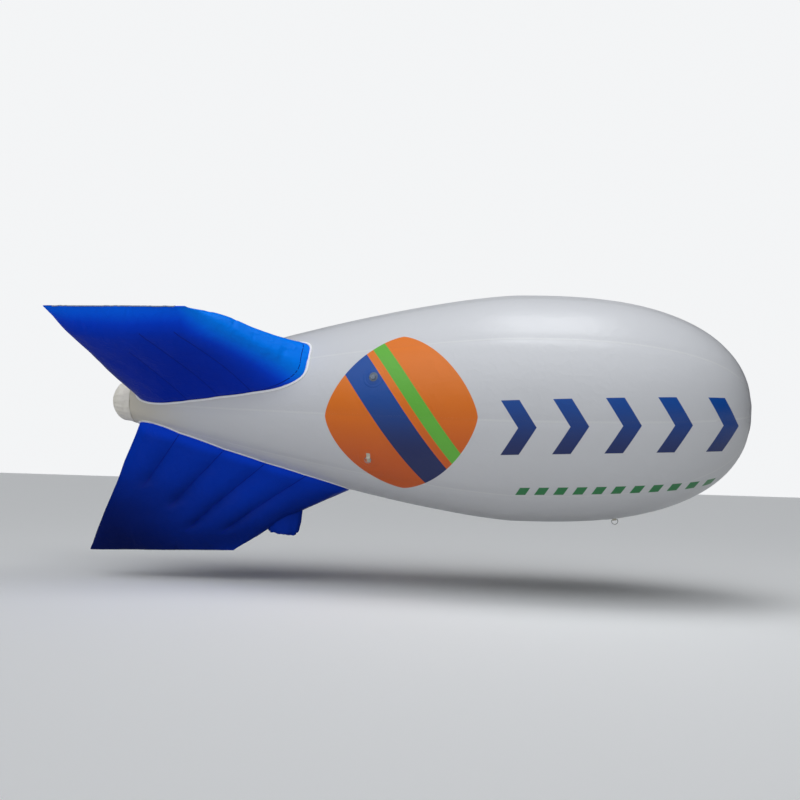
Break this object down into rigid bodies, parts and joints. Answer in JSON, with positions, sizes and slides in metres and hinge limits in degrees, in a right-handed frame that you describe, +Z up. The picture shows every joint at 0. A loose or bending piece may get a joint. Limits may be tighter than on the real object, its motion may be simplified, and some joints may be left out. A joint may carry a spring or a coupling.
{
  "type": "advertising blimp balloon",
  "caption": "Helium advertising blimp: welded teardrop hull of long gores, inflated tail fins, gas valve with cap, and tether rings below.",
  "frame": {"origin": "on the hull's axis at its widest station, where the surrounding air holds it", "axes": "+X forward along the hull's axis to the nose, +Y to the side away from the gas valve, +Z up"},
  "size_m": [6.1715, 2.4952, 2.5018],
  "materials": {
    "white_fabric": "semi-gloss PVC film, welded",
    "cream_fabric": "uncoloured PVC film, gathered",
    "blue_fabric": "semi-gloss blue PVC film, quilted by baffles",
    "grey_plastic": "moulded plastic",
    "steel": "welded stainless steel wire"
  },
  "bodies": {
    "blimp": {"gore_1": "white_fabric", "gore_2": "white_fabric", "gore_3": "white_fabric", "gore_4": "white_fabric", "gore_5": "white_fabric", "gore_6": "white_fabric", "gore_7": "white_fabric", "gore_8": "white_fabric", "gore_9": "white_fabric", "nose_disc": "white_fabric", "tail_cap": "cream_fabric", "fin_upper_right_side_1": "blue_fabric", "fin_upper_right_side_2": "blue_fabric", "fin_upper_right_leading_edge": "blue_fabric", "fin_upper_right_trailing_edge": "blue_fabric", "fin_upper_right_tip": "blue_fabric", "fin_upper_left_side_1": "blue_fabric", "fin_upper_left_side_2": "blue_fabric", "fin_upper_left_leading_edge": "blue_fabric", "fin_upper_left_trailing_edge": "blue_fabric", "fin_upper_left_tip": "blue_fabric", "fin_lower_side_1": "blue_fabric", "fin_lower_side_2": "blue_fabric", "fin_lower_leading_edge": "blue_fabric", "fin_lower_trailing_edge": "blue_fabric", "fin_lower_tip": "blue_fabric", "inflation_sleeve": "blue_fabric", "valve_patch": "white_fabric", "valve_body": "grey_plastic", "tether_patch_aft_right": "white_fabric", "tether_patch_aft_left": "white_fabric", "tether_patch_fore_keel": "white_fabric"},
    "valve_cap": {"valve_cap": "grey_plastic"},
    "ring_aft_right": {"tether_ring_aft_right": "steel"},
    "ring_aft_left": {"tether_ring_aft_left": "steel"},
    "ring_fore_keel": {"tether_ring_fore_keel": "steel"}
  },
  "joints": [
    {"name": "valve_cap_hinge", "type": "hinge", "parent": "blimp", "child": "valve_cap", "pos_m": [-1.23223, -0.86969, 0.15335], "axis": [0, -0.1736, -0.9848], "range_deg": [0, 110]},
    {"name": "ring_swing_aft_right", "type": "hinge", "parent": "blimp", "child": "ring_aft_right", "pos_m": [-1.25248, -0.70399, -0.51148], "axis": [0.9793, -0.1637, -0.1189], "range_deg": [-140, 35]},
    {"name": "ring_swing_aft_left", "type": "hinge", "parent": "blimp", "child": "ring_aft_left", "pos_m": [-1.25248, 0.70399, -0.51148], "axis": [0.9793, 0.1637, -0.1189], "range_deg": [-35, 140]},
    {"name": "ring_swing_fore_keel", "type": "hinge", "parent": "blimp", "child": "ring_fore_keel", "pos_m": [0.90253, 0, -0.99816], "axis": [0.9784, 0, 0.2067], "range_deg": [-85, 85]}
  ]
}
